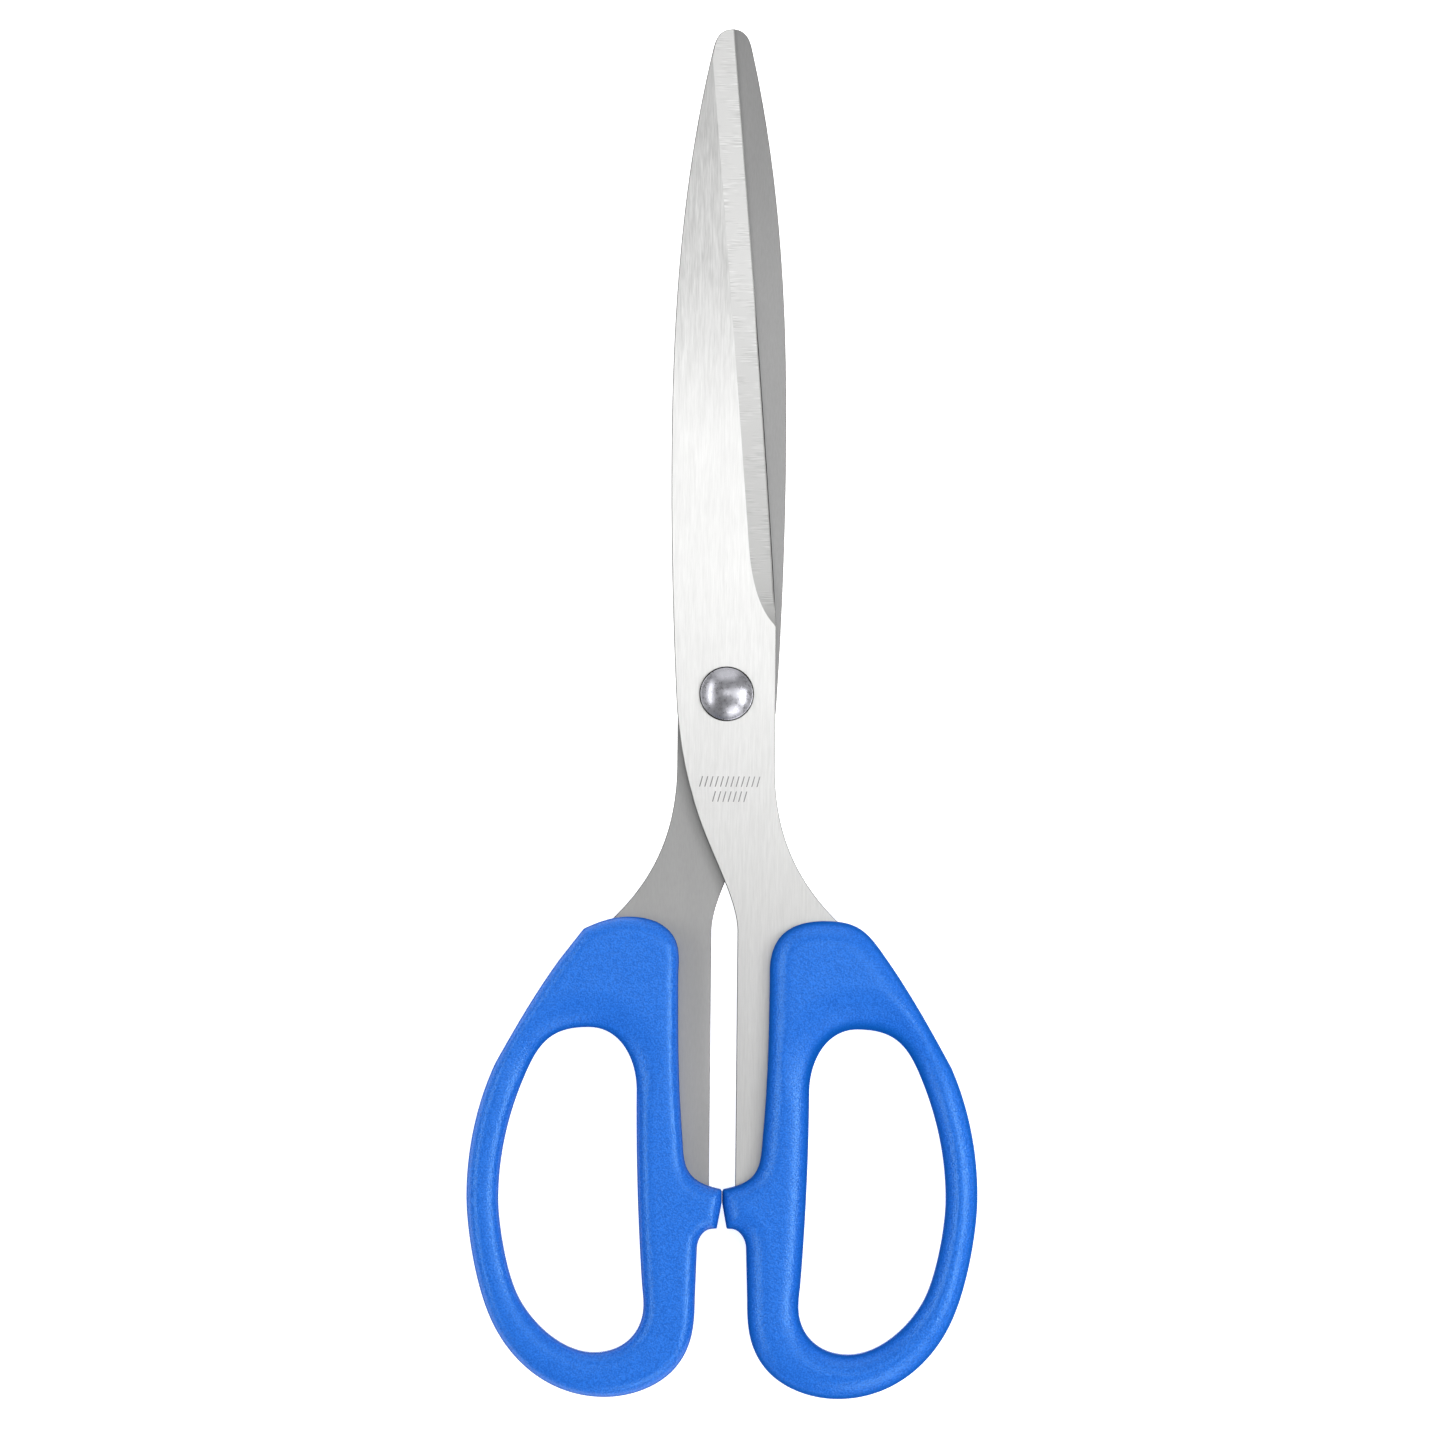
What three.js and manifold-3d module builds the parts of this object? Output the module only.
// Office scissors, 210 mm long, lying closed on a table: +Y towards the tips, +X to the right, +Z up.
//
// Two like halves face each other across the joint plane. Each is a ground steel blade whose tang is
// moulded into a plastic handle with a finger loop and a stop lug. The rear half is the front half
// turned half round about the long axis, but for the top of its handle, which has a crisper corner.
// A domed rivet, peened over a washer, is the hinge.
//
// A half is drawn about the pivot, with its inner face on the joint plane at z = 0 and its outer face up.

import * as THREE from "three";
import { mergeVertices } from "three/addons/utils/BufferGeometryUtils.js";
import Module from "manifold-3d";

const wasm = await Module();
wasm.setup();

// Driving dimensions, in millimetres and degrees.
const PIVOT_Y = 3; // the pivot lies this far ahead of the middle of the length
const HANDLE_THICKNESS = 9; // from the table to the top of both handles
const HANDLE_ROUNDING = 1.8; // of the handles' edges, on both faces
const BLADE_THICKNESS = 1.4;
const BLADE_GAP = 0.1; // between the two inner faces
const MOULD_GAP = 0.3; // between a tang and its handle
const LUG_GAP = 0.1; // between the two stop lugs when closed
const GRIND_ANGLE = 17; // of the ground bevel to the outer face
const RIVET_SHANK_RADIUS = 2.2;
const RIVET_HEAD_RADIUS = 4.2;
const RIVET_HEAD_RIM = 0.4;
const RIVET_HEAD_HEIGHT = 2.0;
const RIVET_TAIL_RADIUS = 3.1;
const RIVET_TAIL_HEIGHT = 0.9;
const RUNNING_CLEARANCE = 0.05; // around the shank, and under the head and the washer
const WASHER_RADIUS = 4.1;
const WASHER_THICKNESS = 0.5;
const WASHER_CHAMFER = 0.12;

const CURVE_STEPS = 5; // straight steps in one curved stretch of an outline
const ROUND_STEPS = 36; // straight steps in a full circle of the rivet, its hole and the washer
const LOCK_HOLE_STEPS = 16;

const OUTER_FACE = BLADE_GAP / 2 + BLADE_THICKNESS;

// An outline is a starting point and its stretches: [x, y] is a straight line to that point, and
// [ax, ay, bx, by, x, y] is a cubic curve to x, y with control points a and b.

// The blade, with its tang: the tip, the spine, the inner shoulder, the tang and back up the cutting edge.
const BLADE_START = [0.2, 102];
const BLADE_STRETCHES = [
  [-1.9, 102, -2.6, 100.6, -3, 98.8], // round tip
  [-7.6, 78.9, -8.8, 58.4, -8.8, 38], // bowed spine
  [-8.8, 24.5, -8.4, 11, -7.6, -2.5], // side of the pivot
  [-7, -8.2, -6.4, -11.6, -4.7, -17.2], // shoulder, as far as its inflection
  [-2.5, -24.4, 2, -31.3, 2, -36.5], // hollow down to the tang
  [2, -79.3], // straight inner edge of the tang
  [9.4, -79.3],
  [10.2, -78.5],
  [10.2, -58],
  [10.2, -50, 18.8, -44, 18.8, -38], // outer edge of the tang, inside the handle
  [18.8, -36.8, 18.5, -35.85, 17.6, -35],
  [10.5, -28.3, 7.5, -20.6, 7.5, -11], // neck
  [7.5, 10.4],
  [5.6, 41, 2.9, 71.4, 0.2, 102], // cutting edge
];

// Holes in the tang that the moulding runs through, which lock the handle to it: [x, y, radius].
const LOCK_HOLES = [
  [12.6, -42.5, 1.8],
  [8.6, -63, 1.1],
];

// Where the ground bevel meets the outer face, from its run-out beside the pivot to beyond the tip.
const GRIND_START = [8.4, 9.7];
const GRIND_STRETCHES = [
  [4.4, 12.3, 3.55, 18.9, 3.2, 22.7],
  [1.2, 48.1, -0.9, 73.6, -3.2, 99],
  [-3.65, 104],
];

// The handle starts on its inner side, beside the tang. Its top goes over the tang and down to the flank.
const HANDLE_START = [7, -42.5];
const FRONT_TOP = [
  [7, -37, 10.1, -34.7, 15.6, -34.7],
  [20.5, -34.7, 22, -36.3, 24.6, -40],
  [28.5, -45.4, 31.8, -51.2, 35, -57], // straight flank
];
const REAR_TOP = [
  [6.75, -39, 7.3, -37.4, 8.9, -36],
  [10.4, -34.75, 12.4, -34.3, 14.7, -34.3],
  [17, -34.3, 19.2, -35.05, 21.6, -36.2], // up to the crisp outer corner
  [25.3, -41],
  [28.8, -45.9, 31.9, -51.3, 35, -57], // straight flank
];

// The rest of both handles: round the fingers and the bottom, and up the inner side past the lug.
const HANDLE_STRETCHES = [
  [37.8, -63.2, 39.2, -70.2, 39.2, -77], // bow round the fingers
  [39.2, -82.1, 37.8, -90.1, 35.8, -95],
  [32.8, -102.5, 26.3, -108, 17.9, -108],
  [14.2, -108, 10.1, -106.7, 7.4, -104],
  [4.4, -100.8, 4, -97.3, 4, -93],
  [3.75, -85],
  [3.75, -83.8, 2.9, -82.05, 1.4, -82.05], // fillet under the lug
  [0.75, -82.05],
  [LUG_GAP / 2, -78],
  [LUG_GAP / 2, -76],
  [6.3, -74.8, 5.8, -72, 6.2, -67.5], // fillet above the lug
  [6.9, -59.2, 7, -50.9, 7, -42.5],
];

// The finger loop, from its top down the inner side.
const LOOP_START = [20.6, -51.3];
const LOOP_STRETCHES = [
  [15.8, -51.3, 13.25, -56.1, 13.25, -61],
  [13.25, -70.7, 12.9, -80.3, 12.2, -90],
  [12.1, -91.4, 11.9, -92.6, 11.9, -93.8],
  [11.9, -98.4, 15.2, -101.2, 19.5, -101.2],
  [24.4, -101.2, 29.2, -96.6, 31.2, -92.5],
  [33, -88.9, 34.3, -81.4, 34.3, -77.5],
  [34.3, -71.5, 33.1, -65.6, 30.9, -60],
  [28.6, -54.2, 26.9, -51.3, 20.6, -51.3],
];

// Draws an outline's stretches on a shape or a path.
function drawn(path, start, stretches) {
  path.moveTo(...start);
  for (const stretch of stretches) {
    if (stretch.length === 2) path.lineTo(...stretch);
    else path.bezierCurveTo(...stretch);
  }
  return path;
}

// A round hole as a path with the given number of straight steps.
function roundHole(x, y, radius, steps) {
  const points = [];
  for (let i = 0; i < steps; i++) {
    const angle = (2 * Math.PI * i) / steps;
    points.push(new THREE.Vector2(x + radius * Math.cos(angle), y + radius * Math.sin(angle)));
  }
  return new THREE.Path(points);
}

// A closed geometry as a solid that can be joined and cut.
function solid(geometry) {
  const bare = geometry.clone();
  bare.deleteAttribute("normal");
  bare.deleteAttribute("uv");
  const merged = mergeVertices(bare, 1e-4);
  return new wasm.Manifold(
    new wasm.Mesh({
      numProp: 3,
      vertProperties: merged.attributes.position.array,
      triVerts: merged.index.array,
    }),
  );
}

// A solid back as a flat-shaded geometry.
function geometryOf(made) {
  const mesh = made.getMesh();
  const geometry = new THREE.BufferGeometry();
  geometry.setAttribute("position", new THREE.BufferAttribute(mesh.vertProperties, 3));
  geometry.setIndex(new THREE.BufferAttribute(mesh.triVerts, 1));
  const flat = geometry.toNonIndexed();
  flat.computeVertexNormals();
  return flat;
}

// The blade's flat blank, with its rivet hole and lock holes. growth moves every wall and face outwards.
function bladeBlank(growth) {
  const shape = drawn(new THREE.Shape(), BLADE_START, BLADE_STRETCHES);
  shape.holes.push(roundHole(0, 0, RIVET_SHANK_RADIUS + RUNNING_CLEARANCE, ROUND_STEPS));
  for (const [x, y, radius] of LOCK_HOLES) shape.holes.push(roundHole(x, y, radius, LOCK_HOLE_STEPS));
  const blank = new THREE.ExtrudeGeometry(shape, {
    depth: BLADE_THICKNESS,
    curveSegments: CURVE_STEPS,
    bevelEnabled: growth > 0,
    bevelThickness: growth,
    bevelSize: 0,
    bevelOffset: growth,
    bevelSegments: 1,
  });
  return blank.translate(0, 0, BLADE_GAP / 2);
}

// What the grinding wheel takes off: a three-cornered bar that follows the bevel line, with one side
// at the grind angle. It starts and ends outside the blade.
function grindingCut() {
  const line = drawn(new THREE.Path(), GRIND_START, GRIND_STRETCHES).getPoints(2 * CURVE_STEPS);
  const slope = Math.tan(THREE.MathUtils.degToRad(GRIND_ANGLE));
  const above = 0.5;
  const reach = 8;
  const corners = [];
  for (const { x, y } of line) {
    corners.push(x - above / slope, y, OUTER_FACE + above);
    corners.push(x + reach, y, OUTER_FACE + above);
    corners.push(x + reach, y, OUTER_FACE - slope * reach);
  }
  const faces = [0, 2, 1];
  for (let i = 0; i < line.length - 1; i++) {
    for (let side = 0; side < 3; side++) {
      const a = 3 * i + side;
      const b = 3 * i + ((side + 1) % 3);
      faces.push(a, b, b + 3, a, b + 3, a + 3);
    }
  }
  const last = 3 * (line.length - 1);
  faces.push(last, last + 1, last + 2);
  const bar = new THREE.BufferGeometry();
  bar.setAttribute("position", new THREE.BufferAttribute(new Float32Array(corners), 3));
  return bar.setIndex(faces);
}

function bladeGeometry() {
  return geometryOf(solid(bladeBlank(0)).subtract(solid(grindingCut())));
}

// A handle, rounded on both faces, with the pocket that its tang fills. The lock holes leave pegs in it.
function handleGeometry(top) {
  const shape = drawn(new THREE.Shape(), HANDLE_START, [...top, ...HANDLE_STRETCHES]);
  shape.holes.push(drawn(new THREE.Path(), LOOP_START, LOOP_STRETCHES));
  const body = new THREE.ExtrudeGeometry(shape, {
    depth: HANDLE_THICKNESS - 2 * HANDLE_ROUNDING,
    curveSegments: CURVE_STEPS,
    bevelThickness: HANDLE_ROUNDING,
    bevelSize: HANDLE_ROUNDING,
    bevelOffset: -HANDLE_ROUNDING,
    bevelSegments: 3,
  });
  body.translate(0, 0, HANDLE_ROUNDING - HANDLE_THICKNESS / 2);
  return geometryOf(solid(body).subtract(solid(bladeBlank(MOULD_GAP))));
}

// Points of a dome's profile, from its rim to the axis, as radius and height.
function dome(radius, height, base, steps) {
  const ball = (radius ** 2 + height ** 2) / (2 * height);
  const spread = Math.asin(radius / ball);
  const points = [];
  for (let i = 0; i <= steps; i++) {
    const angle = spread * (1 - i / steps);
    points.push([i === steps ? 0 : ball * Math.sin(angle), base + height - ball * (1 - Math.cos(angle))]);
  }
  return points;
}

// A profile of radius and height pairs, turned about the Z axis.
function turned(profile) {
  const points = profile.map(([radius, height]) => new THREE.Vector2(radius, height));
  return new THREE.LatheGeometry(points, ROUND_STEPS).rotateX(Math.PI / 2);
}

// The rivet: a domed head over the front blade, and a tail peened over the washer behind the rear one.
function rivetGeometry() {
  const headBase = OUTER_FACE + RUNNING_CLEARANCE;
  const tailBase = OUTER_FACE + WASHER_THICKNESS + 2 * RUNNING_CLEARANCE;
  const tail = dome(RIVET_TAIL_RADIUS, RIVET_TAIL_HEIGHT, tailBase, 3);
  const head = dome(RIVET_HEAD_RADIUS, RIVET_HEAD_HEIGHT - RIVET_HEAD_RIM, headBase + RIVET_HEAD_RIM, 5);
  return turned([
    ...tail.reverse().map(([radius, height]) => [radius, -height]),
    [RIVET_SHANK_RADIUS, -tailBase],
    [RIVET_SHANK_RADIUS, headBase],
    [RIVET_HEAD_RADIUS, headBase],
    ...head,
  ]);
}

// The washer between the rear blade and the peened tail, with its outer edges chamfered.
function washerGeometry() {
  const top = -OUTER_FACE - RUNNING_CLEARANCE;
  const bottom = top - WASHER_THICKNESS;
  const hole = RIVET_SHANK_RADIUS + RUNNING_CLEARANCE;
  return turned([
    [hole, bottom],
    [WASHER_RADIUS - WASHER_CHAMFER, bottom],
    [WASHER_RADIUS, bottom + WASHER_CHAMFER],
    [WASHER_RADIUS, top - WASHER_CHAMFER],
    [WASHER_RADIUS - WASHER_CHAMFER, top],
    [hole, top],
    [hole, bottom],
  ]);
}

function part(name, geometry, color, roughness, metalness) {
  const mesh = new THREE.Mesh(geometry, new THREE.MeshStandardMaterial({ color, roughness, metalness }));
  mesh.name = name;
  return mesh;
}

function brushedBlade(name, geometry) {
  return part(name, geometry, 0xd2d2d0, 0.35, 1);
}

function blueHandle(name, geometry) {
  return part(name, geometry, 0x2b74e6, 0.45, 0);
}

const blade = bladeGeometry();

const frontHalf = new THREE.Group();
frontHalf.add(brushedBlade("front_blade", blade), blueHandle("front_handle", handleGeometry(FRONT_TOP)));

const rearHalf = new THREE.Group();
rearHalf.rotation.y = Math.PI;
rearHalf.add(brushedBlade("rear_blade", blade), blueHandle("rear_handle", handleGeometry(REAR_TOP)));

const scissors = new THREE.Group();
scissors.position.set(0, PIVOT_Y, HANDLE_THICKNESS / 2);
scissors.add(frontHalf, rearHalf);
scissors.add(part("pivot_rivet", rivetGeometry(), 0xc8cacd, 0.15, 1));
scissors.add(part("rivet_washer", washerGeometry(), 0xb4b6b8, 0.3, 1));

export default scissors;
